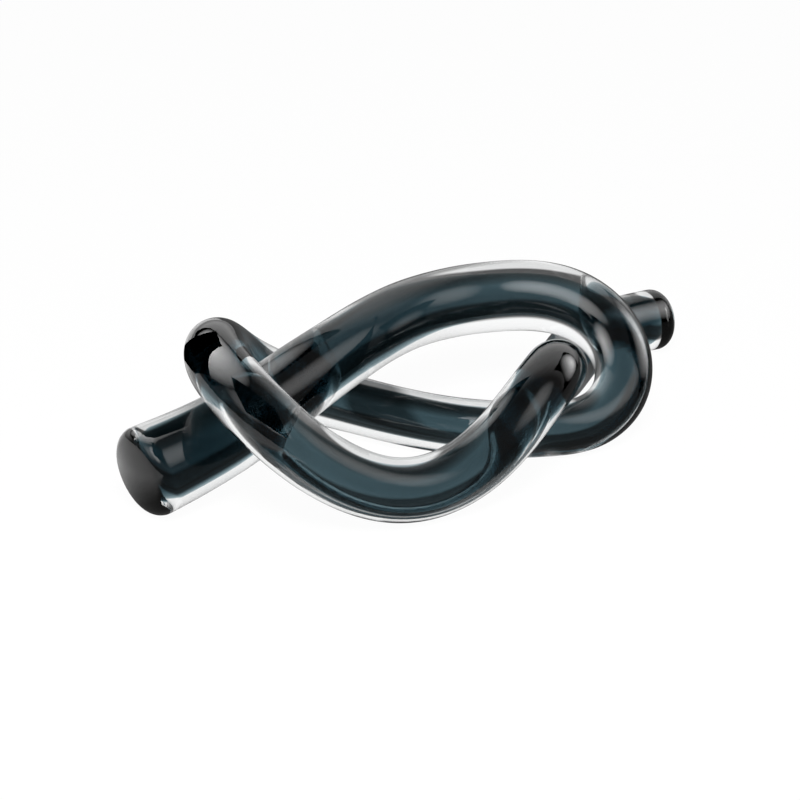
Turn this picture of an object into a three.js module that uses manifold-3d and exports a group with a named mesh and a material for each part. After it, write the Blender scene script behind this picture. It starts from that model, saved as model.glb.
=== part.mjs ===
// Glass knot sculpture: a round rod of cased glass, tied into a loose overhand knot while it was hot.
// A dark core runs through thick clear glass, and shows in both of the flat polished ends.
// Millimetres, +Z up. The knot lies on the plane z = 0, with its long side along X and the thick end at -X.

import * as THREE from 'three';
import { mergeVertices } from 'three/addons/utils/BufferGeometryUtils.js';
import Module from 'manifold-3d';

// Outside diameters of the rod, from the thick end to the thin end
const THICK_END_DIAMETER = 41.2;
const ARCH_DIAMETER = 33;
const CREST_DIAMETER = 33.2;
const RIGHT_LOOP_DIAMETER = 26.2;
const FLOOR_RUN_DIAMETER = 25.4;
const LEFT_LOOP_DIAMETER = 28.4;
const THIN_STRAND_DIAMETER = 28;
const THIN_END_DIAMETER = 31.4;

// Diameters of the dark core inside it
const CORE_THICK_END_DIAMETER = 21.8;
const CORE_ARCH_DIAMETER = 15.2;
const CORE_FLOOR_RUN_DIAMETER = 12.6;
const CORE_BELLY_DIAMETER = 13.3;
const CORE_THIN_END_DIAMETER = 16.4;

// Finish of the ends and of the underside
const RIM_RADIUS = 4;
const GRINDING_DEPTH = 0.5;

// Gaps: between two strands that lie on each other, and between the core and the clear glass
const STRAND_GAP = 0.6;
const CORE_GAP = 0.3;

// How finely the surfaces are divided
const SIDES = 24;
const RINGS = 84;
const RIM_STEPS = 3;
const SAMPLES = 420;

// Plan of the knot. At each of the four crossings one strand of the rod lies over another.
const CROSSINGS = {
  left_clasp: [-111.5, 21.5],
  arch_crossing: [-30, 30],
  right_clasp: [77.8, 2.2],
  front_crossing: [25.5, -45],
};

// Stations of the centreline: a name, a place in plan, what sets the height, and a diameter where one
// is set. 'floor' rests on the floor. 'over' lies on the strand below it at the same crossing. A crossing
// and a share stand at that share of the height of the upper strand there.
const STATIONS = [
  { name: 'thick_end', plan: [-153.5, 21], height: 'floor', diameter: THICK_END_DIAMETER },
  { name: 'left_clasp_under', plan: CROSSINGS.left_clasp, height: ['arch_crossing', 0.56] },
  { name: 'rise', plan: [-70, 24], height: ['arch_crossing', 0.81] },
  { name: 'arch_crossing_over', plan: CROSSINGS.arch_crossing, height: 'over' },
  { name: 'arch', plan: [10.5, 37], height: ['arch_crossing', 1.06], diameter: ARCH_DIAMETER },
  { name: 'arch_shoulder', plan: [51.5, 29.2], height: ['right_clasp', 1.02] },
  { name: 'right_clasp_over', plan: CROSSINGS.right_clasp, height: 'over', diameter: CREST_DIAMETER },
  { name: 'right_loop_side', plan: [83, -24.5], height: ['right_clasp', 0.77] },
  { name: 'right_loop_foot', plan: [67, -46.5], height: ['right_clasp', 0.42], diameter: RIGHT_LOOP_DIAMETER },
  { name: 'floor_run_start', plan: [45, -50], height: 'floor' },
  { name: 'front_crossing_under', plan: CROSSINGS.front_crossing, height: 'floor', diameter: FLOOR_RUN_DIAMETER },
  { name: 'floor_run_middle', plan: [-8.5, -13.5], height: 'floor' },
  { name: 'arch_crossing_under', plan: CROSSINGS.arch_crossing, height: 'floor' },
  { name: 'left_turn_foot', plan: [-49.5, 52.5], height: ['left_clasp', 0.35] },
  { name: 'left_turn_climb', plan: [-75, 58], height: ['left_clasp', 0.64] },
  { name: 'left_loop_shoulder', plan: [-100, 39.5], height: ['left_clasp', 0.96] },
  { name: 'left_clasp_over', plan: CROSSINGS.left_clasp, height: 'over' },
  { name: 'left_loop_front', plan: [-115.5, -8.5], height: ['left_clasp', 0.86], diameter: LEFT_LOOP_DIAMETER },
  { name: 'left_loop_down', plan: [-101, -36.5], height: ['left_clasp', 0.51] },
  { name: 'belly', plan: [-65, -55], height: 'floor' },
  { name: 'rise_foot', plan: [-37, -60.5], height: ['front_crossing', 0.45] },
  { name: 'rise_crown', plan: [0.5, -57.5], height: ['front_crossing', 0.92] },
  { name: 'front_crossing_over', plan: CROSSINGS.front_crossing, height: 'over' },
  { name: 'dip', plan: [54, -17.5], height: ['front_crossing', 0.57], diameter: THIN_STRAND_DIAMETER },
  { name: 'right_clasp_under', plan: CROSSINGS.right_clasp, height: 'floor' },
  { name: 'thin_strand', plan: [116.5, 20.5], height: 'floor' },
  { name: 'thin_end', plan: [158, 16], height: 'floor', diameter: THIN_END_DIAMETER },
];

// The core's diameter, by station
const CORE_STATIONS = [
  ['thick_end', CORE_THICK_END_DIAMETER],
  ['arch', CORE_ARCH_DIAMETER],
  ['floor_run_middle', CORE_FLOOR_RUN_DIAMETER],
  ['belly', CORE_BELLY_DIAMETER],
  ['thin_end', CORE_THIN_END_DIAMETER],
];

// How the rod settles: where a lift starts, how often it is corrected, how far along each strand the gap
// of a crossing is measured, and how far to each side of a station its underside is
const FIRST_LIFT = 30;
const SETTLING_PASSES = 16;
const CLASP_REACH = 45;
const FLOOR_REACH = 20;

const indexOf = (name) => STATIONS.findIndex((station) => station.name === name);

// Natural cubic spline through values at rising knots, with a smooth bend at every knot
function naturalSpline(knots, values) {
  const last = knots.length - 1;
  const bend = new Array(last + 1).fill(0);
  const carry = new Array(last + 1).fill(0);
  const slope = (i) => (values[i + 1] - values[i]) / (knots[i + 1] - knots[i]);
  for (let i = 1; i < last; i++) {
    const before = knots[i] - knots[i - 1];
    const after = knots[i + 1] - knots[i];
    const pivot = 2 * (before + after) - before * carry[i - 1];
    carry[i] = after / pivot;
    bend[i] = (6 * (slope(i) - slope(i - 1)) - before * bend[i - 1]) / pivot;
  }
  for (let i = last - 1; i > 0; i--) bend[i] -= carry[i] * bend[i + 1];
  return (at) => {
    let i = 0;
    while (i < last - 1 && at > knots[i + 1]) i++;
    const span = knots[i + 1] - knots[i];
    const b = (at - knots[i]) / span;
    const a = 1 - b;
    const curved = ((a ** 3 - a) * bend[i] + (b ** 3 - b) * bend[i + 1]) * (span ** 2 / 6);
    return a * values[i] + b * values[i + 1] + curved;
  };
}

// The rod's centreline: a curve through the stations, whose knots are the distances between them
class Centreline extends THREE.Curve {
  constructor(points) {
    super();
    this.arcLengthDivisions = 1200;
    this.knots = [0];
    for (let i = 1; i < points.length; i++) {
      this.knots.push(this.knots[i - 1] + points[i].distanceTo(points[i - 1]));
    }
    this.along = ['x', 'y', 'z'].map((axis) => naturalSpline(this.knots, points.map((p) => p[axis])));
  }

  getPoint(t, target = new THREE.Vector3()) {
    const at = t * this.knots.at(-1);
    return target.set(...this.along.map((axis) => axis(at)));
  }

  // Share of the whole length at which a station lies
  shareAt(index) {
    const lengths = this.getLengths();
    const place = (this.knots[index] / this.knots.at(-1)) * this.arcLengthDivisions;
    const below = Math.min(Math.floor(place), this.arcLengthDivisions - 1);
    const length = THREE.MathUtils.lerp(lengths[below], lengths[below + 1], place - below);
    return length / lengths.at(-1);
  }
}

// Plan length along the stations, by which the diameters are carried from one station to the next
const planLengths = STATIONS.reduce((lengths, { plan }, i) => {
  const step = i ? Math.hypot(plan[0] - STATIONS[i - 1].plan[0], plan[1] - STATIONS[i - 1].plan[1]) : 0;
  return [...lengths, (lengths.at(-1) ?? 0) + step];
}, []);

// Radius at each station, from the few stations where a diameter is set
function stationRadii(set) {
  const spline = naturalSpline(set.map(([name]) => planLengths[indexOf(name)]), set.map(([, size]) => size / 2));
  return planLengths.map(spline);
}

const rodRadii = stationRadii(STATIONS.filter((s) => s.diameter).map((s) => [s.name, s.diameter]));
const coreRadii = stationRadii(CORE_STATIONS);

// Heights of all the stations, from those that rest on the floor and the lifts at the crossings
function stationHeights({ rests, lifts }) {
  const heights = STATIONS.map(({ name }) => rests[name] ?? null);
  const upper = {};
  // The crossings whose lower strand rests on the floor come first, and the clasp above the rise last
  for (const crossing of ['arch_crossing', 'right_clasp', 'front_crossing', 'left_clasp']) {
    const under = indexOf(`${crossing}_under`);
    if (heights[under] === null) {
      const [carrier, share] = STATIONS[under].height;
      heights[under] = share * upper[carrier];
    }
    upper[crossing] = heights[under] + lifts[crossing];
    heights[indexOf(`${crossing}_over`)] = upper[crossing];
  }
  return heights.map((z, i) => z ?? STATIONS[i].height[1] * upper[STATIONS[i].height[0]]);
}

function centrelineFor(pose) {
  const heights = stationHeights(pose);
  return new Centreline(STATIONS.map(({ plan }, i) => new THREE.Vector3(...plan, heights[i])));
}

// A radius that varies smoothly along the whole line, as a function of the share of its length
function radiusAlong(line, radii) {
  return naturalSpline(radii.map((_, i) => line.shareAt(i)), radii);
}

// Even samples of the rod between its two rims: where it is, how thick, how far along and how low it reaches
function sampleRod(line) {
  const radiusAt = radiusAlong(line, rodRadii);
  const length = line.getLength();
  const clearOfRims = 1 - (2 * RIM_RADIUS) / length;
  return Array.from({ length: SAMPLES + 1 }, (_, i) => {
    const share = 0.5 + (i / SAMPLES - 0.5) * clearOfRims;
    const point = line.getPointAt(share);
    const radius = radiusAt(share);
    const slope = line.getTangentAt(share).z;
    return { point, radius, along: share * length, underside: point.z - radius * Math.sqrt(1 - slope ** 2) };
  });
}

const samplesNear = (line, samples, name, reach) => {
  const along = line.shareAt(indexOf(name)) * line.getLength();
  return samples.filter((sample) => Math.abs(sample.along - along) < reach);
};

const gapBetween = (a, b) => a.point.distanceTo(b.point) - a.radius - b.radius;

// Least gap between the two strands of a crossing
function gapAtCrossing(line, samples, crossing) {
  const under = samplesNear(line, samples, `${crossing}_under`, CLASP_REACH);
  const over = samplesNear(line, samples, `${crossing}_over`, CLASP_REACH);
  return Math.min(...over.map((a) => Math.min(...under.map((b) => gapBetween(a, b)))));
}

// Lowest point of the rod's underside beside a station
function undersideAt(line, samples, name) {
  return Math.min(...samplesNear(line, samples, name, FLOOR_REACH).map((sample) => sample.underside));
}

// The soft rod settles. What rests comes down until its underside is as far below the floor plane as is
// ground away, and each upper strand comes down, or is pushed up, until the set gap is left.
function settledCentreline() {
  const resting = STATIONS.filter(({ height }) => height === 'floor').map(({ name }) => name);
  const rests = Object.fromEntries(resting.map((name) => [name, rodRadii[indexOf(name)]]));
  const lifts = Object.fromEntries(Object.keys(CROSSINGS).map((crossing) => [crossing, FIRST_LIFT]));
  for (let pass = 0; pass < SETTLING_PASSES; pass++) {
    const line = centrelineFor({ rests, lifts });
    const samples = sampleRod(line);
    for (const name of resting) rests[name] -= undersideAt(line, samples, name) + GRINDING_DEPTH;
    for (const crossing of Object.keys(CROSSINGS)) {
      lifts[crossing] += STRAND_GAP - gapAtCrossing(line, samples, crossing);
    }
  }
  return centrelineFor({ rests, lifts });
}

// Least gap of the rod to itself, between places that lie further apart along it than a clasp reaches
function leastGap(line) {
  const samples = sampleRod(line);
  const apart = (a, b) => b.along - a.along > 2 * CLASP_REACH;
  return Math.min(...samples.flatMap((a) => samples.filter((b) => apart(a, b)).map((b) => gapBetween(a, b))));
}

// Distances from an end, and how far the rounded rim draws the radius in there
function rimSteps() {
  return Array.from({ length: RIM_STEPS + 1 }, (_, i) => {
    const turn = (i / RIM_STEPS) * (Math.PI / 2);
    return { from: RIM_RADIUS * (1 - Math.cos(turn)), drawnIn: RIM_RADIUS * (1 - Math.sin(turn)) };
  });
}

// Cross-sections of the rod from end to end, each square to the line and without twist to the last one
function crossSections(line) {
  const length = line.getLength();
  const rim = rimSteps();
  const step = (length - 2 * RIM_RADIUS) / RINGS;
  const places = [
    ...rim,
    ...Array.from({ length: RINGS - 1 }, (_, i) => ({ from: RIM_RADIUS + (i + 1) * step, drawnIn: 0 })),
    ...rim.map(({ from, drawnIn }) => ({ from: length - from, drawnIn })).reverse(),
  ];
  const rod = radiusAlong(line, rodRadii);
  const core = radiusAlong(line, coreRadii);
  let side = new THREE.Vector3(0, 0, 1);
  return places.map(({ from, drawnIn }) => {
    const share = THREE.MathUtils.clamp(from / length, 0, 1);
    const tangent = line.getTangentAt(share);
    side = side.clone().addScaledVector(tangent, -side.dot(tangent)).normalize();
    const centre = line.getPointAt(share);
    const across = new THREE.Vector3().crossVectors(tangent, side);
    return { centre, side, across, rod: rod(share) - drawnIn, core: core(share) };
  });
}

function ringOf({ centre, side, across }, radius) {
  return Array.from({ length: SIDES }, (_, i) => {
    const turn = (2 * Math.PI * i) / SIDES;
    const out = side.clone().multiplyScalar(Math.cos(turn) * radius);
    return out.addScaledVector(across, Math.sin(turn) * radius).add(centre);
  });
}

// Skin over a row of rings. A closed row comes back to its first ring, and an open one is capped flat.
function skin(rings, closed) {
  const points = rings.flat();
  const faces = [];
  const bands = closed ? rings.length : rings.length - 1;
  for (let band = 0; band < bands; band++) {
    const here = band * SIDES;
    const next = ((band + 1) % rings.length) * SIDES;
    for (let i = 0; i < SIDES; i++) {
      const j = (i + 1) % SIDES;
      faces.push(here + i, here + j, next + i, here + j, next + j, next + i);
    }
  }
  if (!closed) {
    const last = (rings.length - 1) * SIDES;
    const middle = (ring) => ring.reduce((sum, p) => sum.add(p), new THREE.Vector3()).divideScalar(SIDES);
    points.push(middle(rings[0]), middle(rings.at(-1)));
    for (let i = 0; i < SIDES; i++) {
      const j = (i + 1) % SIDES;
      faces.push(points.length - 2, j, i, points.length - 1, last + i, last + j);
    }
  }
  const geometry = new THREE.BufferGeometry().setFromPoints(points);
  geometry.setIndex(faces);
  return geometry;
}

const wasm = await Module();
wasm.setup();

function toSolid(geometry) {
  const bare = geometry.clone();
  bare.deleteAttribute('normal');
  bare.deleteAttribute('uv');
  const merged = mergeVertices(bare, 1e-5);
  return new wasm.Manifold(new wasm.Mesh({
    numProp: 3,
    vertProperties: new Float32Array(merged.attributes.position.array),
    triVerts: new Uint32Array(merged.index.array),
  }));
}

function toGeometry(solid) {
  const { vertProperties, triVerts } = solid.getMesh();
  const geometry = new THREE.BufferGeometry();
  geometry.setAttribute('position', new THREE.BufferAttribute(new Float32Array(vertProperties), 3));
  geometry.setIndex(new THREE.BufferAttribute(new Uint32Array(triVerts), 1));
  geometry.computeVertexNormals();
  return geometry;
}

// The grinding wheel: a flat slab whose top is the plane that the knot lies on
function grindingWheel(geometry) {
  geometry.computeBoundingBox();
  const size = geometry.boundingBox.getSize(new THREE.Vector3());
  const middle = geometry.boundingBox.getCenter(new THREE.Vector3());
  const slab = new THREE.BoxGeometry(2 * size.x, 2 * size.y, size.z);
  slab.translate(middle.x, middle.y, -size.z / 2);
  return slab;
}

// Clear casing: the rod's outside, with the way through it that the core fills, ground flat underneath
function clearCasing(sections) {
  const outside = sections.map((section) => ringOf(section, section.rod));
  const bore = sections.map((section) => ringOf(section, section.core + CORE_GAP));
  const tube = skin([...outside, ...bore.reverse()], true);
  return toGeometry(toSolid(tube).subtract(toSolid(grindingWheel(tube))));
}

// Tinted core: the dark rod that fills the casing from one end face to the other
function tintedCore(sections) {
  const core = skin(sections.map((section) => ringOf(section, section.core)), false);
  core.computeVertexNormals();
  return core;
}

// Brings the sections to the middle of the plan, so that the origin lies under the middle of the knot
function centredInPlan(sections) {
  const box = new THREE.Box3().setFromPoints(sections.flatMap((section) => ringOf(section, section.rod)));
  const middle = box.getCenter(new THREE.Vector3()).setZ(0);
  sections.forEach(({ centre }) => centre.sub(middle));
  return sections;
}

const line = settledCentreline();
const sections = centredInPlan(crossSections(line));
console.log(`rod ${line.getLength().toFixed(0)} mm long, least gap between strands ${leastGap(line).toFixed(2)} mm`);

const clearGlass = new THREE.MeshStandardMaterial({
  color: 0xe9eff0,
  roughness: 0.03,
  metalness: 0,
  transparent: true,
  opacity: 0.35,
});
const petrolGlass = new THREE.MeshStandardMaterial({ color: 0x1b2b33, roughness: 0.05, metalness: 0 });

function part(name, geometry, material) {
  const mesh = new THREE.Mesh(geometry, material);
  mesh.name = name;
  return mesh;
}

const knot = new THREE.Group();
knot.name = 'glass_knot';
knot.add(part('clear_casing', clearCasing(sections), clearGlass));
knot.add(part('tinted_core', tintedCore(sections), petrolGlass));

export default knot;
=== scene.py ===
# %% [markdown]
# # A knot of cased glass
# The object is one round rod of hot glass, tied into a loose overhand knot before it cooled. A dark petrol
# core runs from end to end inside thick clear crystal. This lesson loads the measured solid as a frame, bends
# two fine surfaces along the same route, and then gives them the two glasses and a studio that glass needs.

import bpy
import numpy as np
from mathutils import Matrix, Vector


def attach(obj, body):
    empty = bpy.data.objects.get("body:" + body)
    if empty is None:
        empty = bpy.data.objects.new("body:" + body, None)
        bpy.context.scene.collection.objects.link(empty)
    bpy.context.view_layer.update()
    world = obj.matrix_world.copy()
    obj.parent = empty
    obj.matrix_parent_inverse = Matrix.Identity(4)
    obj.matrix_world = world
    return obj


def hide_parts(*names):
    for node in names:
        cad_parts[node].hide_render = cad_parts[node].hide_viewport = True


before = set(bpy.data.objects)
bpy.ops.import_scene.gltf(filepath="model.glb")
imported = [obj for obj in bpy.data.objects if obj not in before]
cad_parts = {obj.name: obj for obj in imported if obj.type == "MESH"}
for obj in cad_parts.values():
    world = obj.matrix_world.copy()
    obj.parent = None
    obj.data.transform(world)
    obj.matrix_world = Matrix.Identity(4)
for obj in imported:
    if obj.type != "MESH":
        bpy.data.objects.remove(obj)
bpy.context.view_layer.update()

# %% [markdown]
# ## The route of the rod
# A glass worker bends the rod from memory, so no straight line or arc describes it. What can be written down
# is a row of stations: places on the middle of the rod, in millimetres, each where the knot does something,
# such as resting on the table or lying on the strand below. A smooth curve through them is the route.
# The rod also has its own thickness there, and the core has another, so some stations carry diameters.

# %% Stations on the middle of the rod
MM = 0.001
STATIONS = {
    "thick_end": (-156.1, 22.4, 19.3),
    "left_clasp_under": (-114.1, 22.9, 25.6),
    "rise": (-72.6, 25.4, 37.0),
    "arch_crossing_over": (-32.6, 31.4, 45.6),
    "arch": (7.9, 38.4, 48.4),
    "arch_shoulder": (48.9, 30.6, 48.7),
    "right_clasp_over": (75.2, 3.6, 47.7),
    "right_loop_side": (80.4, -23.1, 36.7),
    "right_loop_foot": (64.4, -45.1, 20.0),
    "floor_run_start": (42.4, -48.6, 12.6),
    "front_crossing_under": (22.9, -43.6, 12.6),
    "floor_run_middle": (-11.1, -12.1, 13.0),
    "arch_crossing_under": (-32.6, 31.4, 14.0),
    "left_turn_foot": (-52.1, 53.9, 20.9),
    "left_turn_climb": (-77.6, 59.4, 38.3),
    "left_loop_shoulder": (-102.6, 40.9, 57.5),
    "left_clasp_over": (-114.1, 22.9, 59.9),
    "left_loop_front": (-118.1, -7.1, 51.5),
    "left_loop_down": (-103.6, -35.1, 30.5),
    "belly": (-67.6, -53.6, 13.7),
    "rise_foot": (-39.6, -59.1, 18.4),
    "rise_crown": (-2.1, -56.1, 37.6),
    "front_crossing_over": (22.9, -43.6, 40.9),
    "dip": (51.4, -16.1, 23.3),
    "right_clasp_under": (75.2, 3.6, 14.9),
    "thin_strand": (113.9, 21.9, 14.8),
    "thin_end": (155.4, 17.4, 15.1),
}
ROD_DIAMETERS = {
    "thick_end": 41.2,
    "arch": 33.0,
    "right_clasp_over": 33.2,
    "right_loop_foot": 26.2,
    "front_crossing_under": 25.4,
    "left_loop_front": 28.4,
    "dip": 28.0,
    "thin_end": 31.4,
}
CORE_DIAMETERS = {"thick_end": 21.8, "arch": 15.2, "floor_run_middle": 12.6, "belly": 13.3, "thin_end": 16.4}
names = list(STATIONS)
points = np.array([STATIONS[name] for name in names]) * MM
print(len(names), "stations, from", names[0], "to", names[-1])

# %% [markdown]
# ## A smooth curve through the stations
# Blender has its own curve objects, but a glass surface shows every flat spot of a curve in its reflections.
# A natural cubic spline has no jump in its bend, so it is the better tool, and numpy solves it in a few lines.

# %% The natural cubic spline


def spline_through(knots, values):
    """Cubic pieces between knots whose slopes and bends meet at every knot, and whose bend is 0 at both ends.

    The bends b solve: h0*b0 + 2*(h0+h1)*b1 + h1*b2 = 6*(slope1 - slope0), with h the lengths of the spans.
    A point between two knots is a*v0 + c*v1 + ((a^3-a)*b0 + (c^3-c)*b1) * h^2/6, where c runs from 0 to 1
    and a is 1 - c.
    """
    knots, values = np.asarray(knots, float), np.asarray(values, float)
    values = values.reshape(len(knots), -1)
    span = np.diff(knots)
    slope = np.diff(values, axis=0) / span[:, None]
    inner = len(knots) - 2
    system = np.diag(2 * (span[:-1] + span[1:])) + np.diag(span[1:-1], 1) + np.diag(span[1:-1], -1)
    bend = np.zeros_like(values)
    bend[1:-1] = np.linalg.solve(system[:inner, :inner], 6 * np.diff(slope, axis=0))

    def at(where):
        i = np.clip(np.searchsorted(knots, where, side="right") - 1, 0, len(span) - 1)
        h = span[i][:, None]
        c = ((where - knots[i]) / span[i])[:, None]
        a = 1 - c
        curved = ((a**3 - a) * bend[i] + (c**3 - c) * bend[i + 1]) * h**2 / 6
        return a * values[i] + c * values[i + 1] + curved

    return at


# %% Walk the route at an even pace
FINE_STEPS = 6000
FORWARD_STEP = 0.2 * MM
chords = np.concatenate([[0], np.cumsum(np.linalg.norm(np.diff(points, axis=0), axis=1))])
route = spline_through(chords, points)
fine = np.linspace(0, chords[-1], FINE_STEPS)
walked = np.concatenate([[0], np.cumsum(np.linalg.norm(np.diff(route(fine), axis=0), axis=1))])
length = walked[-1]
station_at = np.interp(chords, fine, walked)
print("rod", round(length / MM), "mm long along its middle")


def radius_along(diameters):
    """Radius at any distance along the rod: a spline over the distances of the stations that set one."""
    set_at = [names.index(name) for name in diameters]
    plan = np.concatenate([[0], np.cumsum(np.linalg.norm(np.diff(points[:, :2], axis=0), axis=1))])
    by_plan = spline_through(plan[set_at], np.array(list(diameters.values())) * MM / 2)
    return spline_through(station_at, by_plan(plan)[:, 0])


rod_radius = radius_along(ROD_DIAMETERS)
core_radius = radius_along(CORE_DIAMETERS)

# %% [markdown]
# ## Rings square to the route
# A surface round the route needs, at every distance, two directions that are square to it. The rod never
# runs straight up, so "sideways" can be the horizontal direction square to the route, and "lift" is square
# to both. That gives rings without twist, worked out for all the distances at once.

# %% Cross-sections


def sections(distances):
    """Middle, sideways and lift at each distance: sideways is up x forward, and lift is forward x sideways.

    Past the ends of the route the middle goes straight on.
    """
    on_route = np.clip(distances, 0, length)
    ahead, behind = np.minimum(on_route + FORWARD_STEP, length), np.maximum(on_route - FORWARD_STEP, 0)
    place = lambda where: route(np.interp(where, walked, fine))
    forward = place(ahead) - place(behind)
    forward /= np.linalg.norm(forward, axis=1, keepdims=True)
    sideways = np.cross([0.0, 0.0, 1.0], forward)
    sideways /= np.linalg.norm(sideways, axis=1, keepdims=True)
    middle = place(on_route) + (distances - on_route)[:, None] * forward
    return middle, sideways, np.cross(forward, sideways)


def rings(distances, radii, sides, drift=0.0):
    """Grid of points: middle + radius * (cos(turn) * sideways + sin(turn) * lift), turn from 0 to a full circle.

    radii may hold one value per distance, or one per distance and turn. Drift moves the middle along lift.
    """
    middle, sideways, lift = sections(distances)
    turn = np.linspace(0, 2 * np.pi, sides, endpoint=False)
    radii = np.broadcast_to(np.reshape(radii, (len(distances), -1)), (len(distances), sides))
    out = np.cos(turn)[None, :, None] * sideways[:, None] + np.sin(turn)[None, :, None] * lift[:, None]
    return (middle + drift * lift)[:, None] + radii[:, :, None] * out


# %% [markdown]
# ## From a grid of points to a closed piece
# Neighbouring points of the grid make a four-sided face, the last column joins the first, and a fan of
# triangles closes each end on one middle point. Numpy builds all the face lists, and the mesh takes them whole.

# %% Build a closed piece


def closed_piece(name, grid):
    """Mesh from a grid (rings x sides): face (i, j) joins points (i, j), (i, j+1), (i+1, j+1), (i+1, j)."""
    rows, sides = grid.shape[:2]
    corner = np.arange(rows * sides).reshape(rows, sides)
    turned = np.roll(corner, -1, axis=1)
    walls = np.stack([corner[:-1], turned[:-1], turned[1:], corner[1:]], axis=-1).reshape(-1, 4)
    poles = np.array([grid[0].mean(0), grid[-1].mean(0)])
    start = np.stack([turned[0], corner[0], np.full(sides, rows * sides)], axis=-1)
    end = np.stack([corner[-1], turned[-1], np.full(sides, rows * sides + 1)], axis=-1)
    loops = np.concatenate([walls.ravel(), start.ravel(), end.ravel()])
    sizes = np.concatenate([np.full(len(walls), 4), np.full(2 * sides, 3)])
    verts = np.concatenate([grid.reshape(-1, 3), poles])
    mesh = bpy.data.meshes.new(name)
    mesh.vertices.add(len(verts))
    mesh.vertices.foreach_set("co", verts.astype(np.float32).ravel())
    mesh.loops.add(len(loops))
    mesh.loops.foreach_set("vertex_index", loops.astype(np.int32))
    mesh.polygons.add(len(sizes))
    mesh.polygons.foreach_set("loop_start", (np.cumsum(sizes) - sizes).astype(np.int32))
    mesh.polygons.foreach_set("loop_total", sizes.astype(np.int32))
    mesh.update(calc_edges=True)
    mesh.polygons.foreach_set("use_smooth", np.ones(len(sizes), bool))
    piece = bpy.data.objects.new(name, mesh)
    bpy.context.scene.collection.objects.link(piece)
    print(name, "has", len(verts), "points and", int((sizes - 2).sum()), "triangles")
    return piece


# %% [markdown]
# ## The clear casing
# Outside, the rod is fire polished: smooth, but never quite round, because it was marvered and bent by hand.
# A ripple of a tenth of a millimetre is enough for its highlights to waver. Both ends are cut square, ground and
# polished, and the rim is softened so far that the face runs into the side as a shallow dome. Underneath, where
# the rod touches the table, a little is ground away: lifting every point below the table up to it makes those
# flats.

# %% Casing surface
END_DOMES = (4.0 * MM, 3.0 * MM)
OVERHANGS = (4.5 * MM, 3.5 * MM)
EDGE_RADIUS = 5.0 * MM
END_RINGS = 14
RING_SPACING = 1.6 * MM
CASING_SIDES = 96
RIPPLE = 0.10 * MM
RIPPLE_FADE = 25 * MM
# each wave: its share of the height, waves along the rod, waves round it, and where it starts
RIPPLE_WAVES = [(1.0, 11, 2, 0.0), (0.7, 17, -3, 1.3), (0.5, 29, 1, 0.4)]


def rounded_end(dome, edge, radius):
    """Distances from the end and shares of the radius there: a shallow dome that ends in a quarter circle.

    The distance is dome * share^2, and over the edge it grows by edge * (1 - cos(turn)), turn up to 90 degrees.
    """
    turn = np.linspace(0, np.pi / 2, END_RINGS)
    on_dome = np.linspace(0, 1 - edge / radius, END_RINGS)[1:-1]
    over_edge = 1 - edge / radius * (1 - np.sin(turn))
    share = np.concatenate([on_dome, over_edge])
    drop = np.concatenate([np.zeros(len(on_dome)), edge * (1 - np.cos(turn))])
    return dome * share**2 + drop, share


def hand_ripple(distances, sides):
    """Sum of share * sin(a * way along + b * turn + start), RIPPLE high, that fades out at the ends.

    The fade grows from 0 at half of RIPPLE_FADE from an end to 1 at one and a half.
    """
    way = distances[:, None] / length * 2 * np.pi
    turn = np.linspace(0, 2 * np.pi, sides, endpoint=False)[None, :]
    waves = sum(share * np.sin(a * way + b * turn + start) for share, a, b, start in RIPPLE_WAVES)
    fade = np.clip(np.minimum(distances, length - distances) / RIPPLE_FADE - 0.5, 0, 1)[:, None]
    return RIPPLE / sum(share for share, *_ in RIPPLE_WAVES) * waves * fade


def bent_rod(name, radius, skins, domes, edge, sides, ripple=0.0, drift=0.0):
    """A closed rod along the route: domed ends that start under their skins, and a ring every RING_SPACING.

    Skins, domes and OVERHANGS hold one value for the thick end and one for the thin end.
    """
    start, stop = skins[0] - OVERHANGS[0], length + OVERHANGS[1] - skins[1]
    ends = radius(np.array([0, length]))[:, 0]
    first, first_share = rounded_end(domes[0], edge, ends[0])
    last, last_share = rounded_end(domes[1], edge, ends[1])
    body = np.arange(start + first[-1] + RING_SPACING, stop - last[-1], RING_SPACING)
    places = np.concatenate([start + first, body, stop - last[::-1]])
    share = np.concatenate([first_share, np.ones(len(body)), last_share[::-1]])
    radii = radius(np.clip(places, 0, length)) * share[:, None] + ripple * hand_ripple(places, sides)
    grid = rings(places, radii, sides, drift)
    grid[:, :, 2] = np.maximum(grid[:, :, 2], 0)
    return closed_piece(name, grid)


casing = bent_rod("casing_crystal", rod_radius, (0, 0), END_DOMES, EDGE_RADIUS, CASING_SIDES, ripple=1.0)

# %% [markdown]
# ## The tinted core
# The core follows the same route, a little above the middle, because the heavy casing sags under it while it
# is soft. Its ends are rounded as well, and a skin of clear glass covers them: that skin is the pale sliver
# beside the dark end.

# %% Core surface
CORE_SIDES = 64
CLEAR_SKINS = (5.0 * MM, 3.5 * MM)
CORE_DOMES = (4.0 * MM, 3.0 * MM)
CORE_EDGE = 8.0 * MM
DRIFT = 0.4 * MM

core = bent_rod("core_petrol", core_radius, CLEAR_SKINS, CORE_DOMES, CORE_EDGE, CORE_SIDES, drift=DRIFT)

# %% [markdown]
# ## Two glasses
# Clear crystal bends light strongly and swallows almost none. The petrol glass is fused into it, so light
# crosses from one to the other without bending: its own index, seen from inside the crystal, is 1. What makes
# it dark is only how much it swallows on the way, and red goes first, which leaves the blue-green tone. Where
# two strands lie behind each other, light has twice the way to go, and the core turns black by itself.

# %% Crystal
CRYSTAL_TINT = (0.985, 0.992, 0.992)
CRYSTAL_INDEX = 1.5
POLISHED = 0.0
WAVER_SCALE, WAVER_DETAIL = 45.0, 1.0
WAVER_STRENGTH, WAVER_HEIGHT = 0.25, 0.4 * MM


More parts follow.
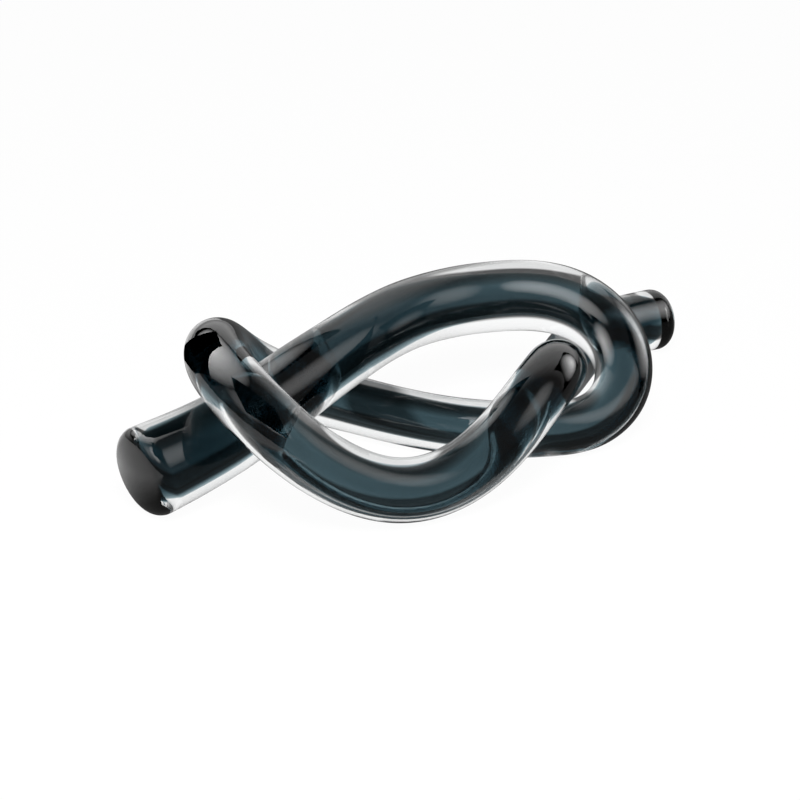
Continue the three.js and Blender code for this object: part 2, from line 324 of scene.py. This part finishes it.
def glass_material(name, tint, index, roughness):
    """A Principled surface that lets all light through, bends it by the index, and tints it at each crossing."""
    material = bpy.data.materials.new(name)
    material.use_nodes = True
    shader = material.node_tree.nodes["Principled BSDF"]
    shader.inputs["Base Color"].default_value = (*tint, 1)
    shader.inputs["Transmission Weight"].default_value = 1.0
    shader.inputs["IOR"].default_value = index
    shader.inputs["Roughness"].default_value = roughness
    return material, shader


crystal, crystal_shader = glass_material("clear_crystal", CRYSTAL_TINT, CRYSTAL_INDEX, POLISHED)
nodes, links = crystal.node_tree.nodes, crystal.node_tree.links
where = nodes.new("ShaderNodeTexCoord")
waver = nodes.new("ShaderNodeTexNoise")
waver.inputs["Scale"].default_value = WAVER_SCALE
waver.inputs["Detail"].default_value = WAVER_DETAIL
bump = nodes.new("ShaderNodeBump")
bump.inputs["Strength"].default_value = WAVER_STRENGTH
bump.inputs["Distance"].default_value = WAVER_HEIGHT
links.new(where.outputs["Object"], waver.inputs["Vector"])
links.new(waver.outputs["Fac"], bump.inputs["Height"])
links.new(bump.outputs["Normal"], crystal_shader.inputs["Normal"])
casing.data.materials.append(crystal)
print("crystal bends light by", crystal_shader.inputs["IOR"].default_value)

# %% [markdown]
# ## Petrol glass
# Volume Absorption works out the swallowed light as density * (1 - colour), so the colour follows from the
# rates below. The gather was never stirred quite even, and faint streaks along the core's skin show that.

# %% Petrol glass
SWALLOWED_PER_METRE = (230.0, 188.0, 175.0)
DENSITY = 300.0
FUSED_INDEX = 1.0
STREAK_SCALE, STREAK_TWIST = 38.0, 1.2
STREAK_TINT, CLEAR_TINT = (0.86, 0.92, 0.94), (1.0, 1.0, 1.0)
USUAL_CORE = 14 * MM

petrol, petrol_shader = glass_material("petrol_glass", CLEAR_TINT, FUSED_INDEX, POLISHED)
nodes, links = petrol.node_tree.nodes, petrol.node_tree.links
where = nodes.new("ShaderNodeTexCoord")
streaks = nodes.new("ShaderNodeTexNoise")
streaks.inputs["Scale"].default_value = STREAK_SCALE
streaks.inputs["Distortion"].default_value = STREAK_TWIST
tints = nodes.new("ShaderNodeValToRGB")
tints.color_ramp.elements[0].color = (*STREAK_TINT, 1)
tints.color_ramp.elements[1].color = (*CLEAR_TINT, 1)
depth = nodes.new("ShaderNodeVolumeAbsorption")
depth.inputs["Density"].default_value = DENSITY
depth.inputs["Color"].default_value = (*(1 - v / DENSITY for v in SWALLOWED_PER_METRE), 1)
links.new(where.outputs["Object"], streaks.inputs["Vector"])
links.new(streaks.outputs["Fac"], tints.inputs["Fac"])
links.new(tints.outputs["Color"], petrol_shader.inputs["Base Color"])
links.new(depth.outputs[0], nodes["Material Output"].inputs["Volume"])
core.data.materials.append(petrol)
print("a 14 mm core lets through", [round(float(np.exp(-v * USUAL_CORE)), 3) for v in SWALLOWED_PER_METRE])

# %% [markdown]
# ## Each piece stands for its measured solid
# The fine surfaces take the places of the two measured ones, and ride on the same body.

# %% Tie the pieces to the frame
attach(casing, "root")
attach(core, "root")
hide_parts("clear_casing")
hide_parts("tinted_core")

# %% [markdown]
# ## A studio for glass
# Glass has no colour of its own to light. It shows what stands round it, so the studio is the real material.
# A photographer of glass uses a white wall behind it, which fills the clear margins, black cards at both
# sides, which draw the dark edges of the upright strands, and a few soft boxes, which leave the soft patches on
# its skin. Otherwise the glass mirrors a dim room, so that the core stays nearly black. All directions are told
# from the camera, which looks at the knot from its belly side, a little from the left and from above.

# %% Where the camera will stand
# metres, and angles in degrees
LOOK_AT = np.array([-0.03765, -0.00764, 0.0315])
TURNED, RAISED, DISTANCE = np.radians(-39.0), np.radians(24.0), 0.9
away = np.array([-np.sin(TURNED), np.cos(TURNED), 0.0])
to_right = np.array([np.cos(TURNED), np.sin(TURNED), 0.0])
toward_camera = -away * np.cos(RAISED) + np.array([0, 0, np.sin(RAISED)])
print("the camera looks along", away.round(3), "and", np.degrees(RAISED).round(), "degrees down")


def toward(side, height):
    """Direction from the knot: side is the angle to the camera's right, height the angle up, in degrees."""
    side, height = np.radians(side), np.radians(height)
    level = -away * np.cos(side) + to_right * np.sin(side)
    return level * np.cos(height) + np.array([0, 0, np.sin(height)])


# %% Small helpers for node trees


def ramp(tree, source, stops):
    """A colour ramp of greys: (place, tone) pairs, straight lines between them."""
    node = tree.nodes.new("ShaderNodeValToRGB")
    elements = node.color_ramp.elements
    for i, (place, tone) in enumerate(stops):
        stop = elements[i] if i < 2 else elements.new(place)
        stop.position = place
        stop.color = (tone, tone, tone, 1)
    tree.links.new(source, node.inputs["Fac"])
    return node.outputs["Color"]


def along(tree, vector, axis):
    """How far a direction points along an axis, from 0 (against it) to 1 (along it)."""
    dot = tree.nodes.new("ShaderNodeVectorMath")
    dot.operation = "DOT_PRODUCT"
    dot.inputs[1].default_value = axis
    tree.links.new(vector, dot.inputs[0])
    half = tree.nodes.new("ShaderNodeMath")
    half.operation = "MULTIPLY_ADD"
    half.inputs[1].default_value = 0.5
    half.inputs[2].default_value = 0.5
    tree.links.new(dot.outputs["Value"], half.inputs[0])
    return half.outputs[0]


def times(tree, a, b):
    """The product of two greys."""
    node = tree.nodes.new("ShaderNodeVectorMath")
    node.operation = "MULTIPLY"
    tree.links.new(a, node.inputs[0])
    tree.links.new(b, node.inputs[1])
    return node.outputs[0]


def plus(tree, a, b, share):
    """The sum of one grey and a share of another."""
    node = tree.nodes.new("ShaderNodeVectorMath")
    node.operation = "MULTIPLY_ADD"
    node.inputs[1].default_value = (share, share, share)
    tree.links.new(b, node.inputs[0])
    tree.links.new(a, node.inputs[2])
    return node.outputs[0]


# %% [markdown]
# ## The table
# The table is white and takes the knot's shadow. For the camera most of its white is its own light, so that it
# reads as a sheet of white paper. For light that went through the glass its tone is painted light and shade, told
# by the slant at which that light meets it: white nearly straight down, a painted shadow where the knot's own
# shadow lies, white again further off and dim towards its far edge, all inside a painted pool of light round the
# knot. An oval under the arch is painted darker, as the arch's own shadow. What the skin mirrors is a table
# painted dim, with a painted patch of light at the far left.

# %% Table
TABLE_SIZE = 6.0
TABLE_WHITE = 0.9
TABLE_GAP = 0.2 * MM
OWN_LIGHT = 0.97
# painted pool by reach: a place is metres from the middle; painted shade by slant: a place is 1 - sine of the
# ray's angle to the table
PAINTED_POOL_BY_REACH = [(0.0, 1.0), (0.16, 1.0), (0.30, 0.12), (1.0, 0.12)]
PAINTED_SHADE_BY_SLANT = [(0.0, 0.85), (0.13, 0.85), (0.165, 0.07), (0.28, 0.08), (0.32, 0.17), (0.36, 0.32), (0.40, 0.52),
                  (0.45, 0.95), (0.69, 0.95), (0.75, 0.10), (1.0, 0.10)]
THROUGH_GLASS = 0.9
# the painted shadow of the arch, in metres; its places are shares of the way from the oval's middle to its rim
ARCH_SHADE_MIDDLE = (0.018, 0.042, 0.0)
ARCH_SHADE_HALVES = (0.062, 0.024)
ARCH_SHADE = [(0.0, 0.25), (0.75, 0.25), (1.0, 1.0)]
MIRRORED_TABLE = 0.13
# a painted patch of light at the far left of a table painted dim, for mirrored rays, which the thick end's face
# mirrors as its sheen; a place here is 0.5 + half of the metres to the camera's right
LIT_LEFT = [(0.0, 1.0), (0.413, 1.0), (0.4285, MIRRORED_TABLE), (1.0, MIRRORED_TABLE)]


def lit_for(tree, surface, rays, share, tone):
    """The surface, and for one kind of rays a share of it replaced by its own light of the given tone."""
    glow = tree.nodes.new("ShaderNodeEmission")
    if isinstance(tone, float):
        glow.inputs["Color"].default_value = (tone, tone, tone, 1)
    else:
        tree.links.new(tone, glow.inputs["Color"])
    amount = tree.nodes.new("ShaderNodeMath")
    amount.operation = "MULTIPLY"
    amount.inputs[1].default_value = share
    mix = tree.nodes.new("ShaderNodeMixShader")
    tree.links.new(rays, amount.inputs[0])
    tree.links.new(amount.outputs[0], mix.inputs["Fac"])
    tree.links.new(surface, mix.inputs[1])
    tree.links.new(glow.outputs[0], mix.inputs[2])
    return mix.outputs[0]


def spot(tree, place, middle, halves, stops):
    """Tone of an oval on the table: a ramp over the length of ((place - middle) / halves)."""
    for operation, value in (("SUBTRACT", middle), ("DIVIDE", (*halves, 1.0)), ("LENGTH", None)):
        node = tree.nodes.new("ShaderNodeVectorMath")
        node.operation = operation
        tree.links.new(place, node.inputs[0])
        if value:
            node.inputs[1].default_value = value
        place = node.outputs["Value" if operation == "LENGTH" else "Vector"]
    return ramp(tree, place, stops)


def table_material():
    """Diffuse white with its shadow, own white for the camera, and for the glass painted light and shade told by
    the slant.
    """
    material = bpy.data.materials.new("white_table")
    material.use_nodes = True
    tree = material.node_tree
    tree.nodes.remove(tree.nodes["Principled BSDF"])
    where = tree.nodes.new("ShaderNodeTexCoord")
    reach = tree.nodes.new("ShaderNodeVectorMath")
    reach.operation = "LENGTH"
    tree.links.new(where.outputs["Object"], reach.inputs[0])
    lit = ramp(tree, reach.outputs["Value"], PAINTED_POOL_BY_REACH)
    slant = ramp(tree, tree.nodes.new("ShaderNodeLayerWeight").outputs["Facing"], PAINTED_SHADE_BY_SLANT)
    # the arch's painted shadow: an oval on the table, dark in its middle and white at its rim
    shade = spot(tree, where.outputs["Object"], ARCH_SHADE_MIDDLE, ARCH_SHADE_HALVES, ARCH_SHADE)
    paper = tree.nodes.new("ShaderNodeBsdfDiffuse")
    paper.inputs["Color"].default_value = (TABLE_WHITE, TABLE_WHITE, TABLE_WHITE, 1)
    ray = tree.nodes.new("ShaderNodeLightPath").outputs
    through = ray["Is Transmission Ray"]
    mirrored = tree.nodes.new("ShaderNodeMath")
    mirrored.operation = "SUBTRACT"
    tree.links.new(ray["Is Glossy Ray"], mirrored.inputs[0])
    tree.links.new(through, mirrored.inputs[1])
    surface = paper.outputs[0]
    # mirrored rays see the table painted dim, with a painted patch of light at the far left
    left = ramp(tree, along(tree, where.outputs["Object"], to_right), LIT_LEFT)
    surface = lit_for(tree, surface, mirrored.outputs[0], 1.0, left)
    # light through the glass sees the painted pool, the arch's painted shadow and the painted shade by slant
    surface = lit_for(tree, surface, through, THROUGH_GLASS, times(tree, times(tree, lit, shade), slant))
    surface = lit_for(tree, surface, ray["Is Camera Ray"], OWN_LIGHT, 1.0)
    tree.links.new(surface, tree.nodes["Material Output"].inputs["Surface"])
    return material


def square(name, half_side):
    """A flat square piece whose corners lie half a side to each side of the origin."""
    mesh = bpy.data.meshes.new(name)
    corners = np.array([(-1, -1, 0), (1, -1, 0), (1, 1, 0), (-1, 1, 0)]) * half_side
    mesh.from_pydata(corners.tolist(), [], [(0, 1, 2, 3)])
    return bpy.data.objects.new(name, mesh)


table = square("table", TABLE_SIZE / 2)
table.location.z = -TABLE_GAP
bpy.context.scene.collection.objects.link(table)
table.data.materials.append(table_material())

# %% [markdown]
# ## The room
# The world holds three rooms. The camera sees plain white. Light that went through the glass sees the white
# wall above a dim horizon, with the black cards at the sides. Light that the skin mirrors sees a dim room, with
# three large lamps far off that fade out softly at their rims. That room is darker on the camera's side than
# beyond the knot.

# %% World
# places are shares from straight down, far left or behind the camera (0) to straight up, far right or beyond (1)
WALL_BY_HEIGHT = [(0.0, 0.12), (0.54, 0.12), (0.578, 1.0), (0.93, 1.0), (1.0, 0.6)]
CARDS_BY_SIDE = [(0.0, 0.05), (0.15, 0.05), (0.27, 1.0), (0.80, 1.0), (0.91, 0.08)]
MIRRORED_ROOM = [(0.0, 0.5), (0.52, 0.5), (0.57, 0.95), (0.93, 0.95), (1.0, 0.6)]
WALL_BEHIND = [(0.0, 0.17), (0.62, 0.17), (0.80, 1.0)]
# each far lamp: side and height in degrees, degrees from its middle to its rim, and how bright
FAR_LAMPS = [(-18, 48, 24, 4.8), (-50, 34, 20, 1.4), (74, 40, 23, 1.8)]
DIFFUSE_ROOM = 0.12

world = bpy.data.worlds.new("studio")
bpy.context.scene.world = world
world.use_nodes = True
tree = world.node_tree
tree.nodes.clear()
direction = tree.nodes.new("ShaderNodeTexCoord").outputs["Generated"]
ray = tree.nodes.new("ShaderNodeLightPath")
by_height = along(tree, direction, (0, 0, 1))
by_side = along(tree, direction, to_right)
seen_through = times(tree, ramp(tree, by_height, WALL_BY_HEIGHT), ramp(tree, by_side, CARDS_BY_SIDE))
by_depth = along(tree, direction, away)
mirrored = times(tree, ramp(tree, by_height, MIRRORED_ROOM), ramp(tree, by_depth, WALL_BEHIND))
for side, height, reach, glow in FAR_LAMPS:
    rim = 0.5 + 0.5 * np.cos(np.radians(reach))
    lobe = ramp(tree, along(tree, direction, toward(side, height)), [(rim, 0.0), (1.0, 1.0)])
    mirrored = plus(tree, mirrored, lobe, glow)


def background(color):
    """A background of one grey, or of a grey that comes from a socket."""
    node = tree.nodes.new("ShaderNodeBackground")
    if isinstance(color, float):
        node.inputs["Color"].default_value = (color, color, color, 1)
    else:
        tree.links.new(color, node.inputs["Color"])
    return node.outputs[0]


def choose(ray_kind, otherwise, chosen):
    """One background for a kind of ray, another for all other rays."""
    node = tree.nodes.new("ShaderNodeMixShader")
    tree.links.new(ray.outputs[ray_kind], node.inputs["Fac"])
    tree.links.new(otherwise, node.inputs[1])
    tree.links.new(chosen, node.inputs[2])
    return node.outputs[0]


room = choose("Is Glossy Ray", background(DIFFUSE_ROOM), background(mirrored))
room = choose("Is Transmission Ray", room, background(seen_through))
room = choose("Is Camera Ray", room, background(1.0))
tree.links.new(room, tree.nodes.new("ShaderNodeOutputWorld").inputs["Surface"])
bpy.context.scene.view_settings.view_transform = "Standard"

# %% [markdown]
# ## The lamps
# One lamp above the camera throws the knot's faint shadow on the table, and the glass doesn't show it. Two soft
# boxes stand so near the thin end and the top of the left loop that hardly any other strand mirrors them: cards
# that glow in their middle and fade out towards their rim. Three black cards, which don't glow, keep the far
# lamps off the front of the left loop, and the left loop's soft box off the thick end and the run on the table.

# %% Key lamp
KEY_HEIGHT, KEY_DISTANCE, KEY_SIZE, KEY_POWER = 54, 1.2, 0.45, 22.0


def key_lamp(height, distance, size, power):
    """A square lamp straight above the camera that faces the knot, and that the glass itself doesn't show."""
    lamp = bpy.data.lights.new("key", "AREA")
    lamp.size, lamp.energy = size, power
    key = bpy.data.objects.new("key", lamp)
    place = toward(0, height)
    key.location = Vector(LOOK_AT + place * distance)
    key.rotation_euler = Vector(-place).to_track_quat("-Z", "Y").to_euler()
    key.visible_camera = key.visible_glossy = key.visible_transmission = False
    bpy.context.scene.collection.objects.link(key)
    return key


key = key_lamp(KEY_HEIGHT, KEY_DISTANCE, KEY_SIZE, KEY_POWER)
print("key lamp at", [round(v, 2) for v in key.location])

# %% Soft boxes and black cards
# strand in mm, side and height in degrees as seen from it, distance and half a side in metres, and glow
CARDS = {
    "thin_end_box": ((140.0, 18.0, 30.0), (84, 36), 0.12, 0.08, 5.5),
    "left_loop_box": ((-103.0, 41.0, 72.0), (-116, 54), 0.14, 0.155, 8.8),
    "left_loop_flag": ((-118.0, -7.0, 60.0), (-16, 50), 0.10, 0.055, 0.0),
    "thick_end_flag": ((-140.0, 24.0, 37.0), (-160, 52), 0.035, 0.025, 0.0),
    "floor_run_flag": ((-15.0, -5.0, 27.0), (-60, 45), 0.035, 0.026, 0.0),
}


def near_card(name, strand, view, distance, radius, glow):
    """A square card at a distance from a strand, towards a side and height, seen only by mirrored light.

    It glows by glow * (1 - way from its middle / radius).
    """
    box = square(name, radius)
    direction = toward(*view)
    box.location = Vector(np.array(strand) * MM + direction * distance)
    box.rotation_euler = Vector(-direction).to_track_quat("Z", "Y").to_euler()
    box.visible_camera = box.visible_diffuse = box.visible_transmission = box.visible_shadow = False
    material = bpy.data.materials.new(name)
    material.use_nodes = True
    tree = material.node_tree
    tree.nodes.remove(tree.nodes["Principled BSDF"])
    way = tree.nodes.new("ShaderNodeVectorMath")
    way.operation = "LENGTH"
    tree.links.new(tree.nodes.new("ShaderNodeTexCoord").outputs["Object"], way.inputs[0])
    light = tree.nodes.new("ShaderNodeEmission")
    light.inputs["Strength"].default_value = glow
    tree.links.new(ramp(tree, way.outputs["Value"], [(0.0, 1.0), (radius, 0.0)]), light.inputs["Color"])
    tree.links.new(light.outputs[0], tree.nodes["Material Output"].inputs["Surface"])
    box.data.materials.append(material)
    bpy.context.scene.collection.objects.link(box)
    return box


for name, values in CARDS.items():
    print(name, "at", [round(v, 2) for v in near_card(name, *values).location])

# %% [markdown]
# ## The camera
# The photograph looks down on the knot from its belly side, a little from the left. The camera stands 90 cm
# off with a long lens, so that the near end doesn't swell.

# %% Camera
LENS_MM, SENSOR_MM = 90.0, 36.0
lens = bpy.data.cameras.new("camera")
lens.lens = LENS_MM
lens.sensor_width = SENSOR_MM
camera = bpy.data.objects.new("camera", lens)
camera.location = Vector(LOOK_AT + DISTANCE * toward_camera)
camera.rotation_euler = Vector(-toward_camera).to_track_quat("-Z", "Y").to_euler()
bpy.context.scene.collection.objects.link(camera)
bpy.context.scene.camera = camera
print("camera at", [round(v, 3) for v in camera.location])
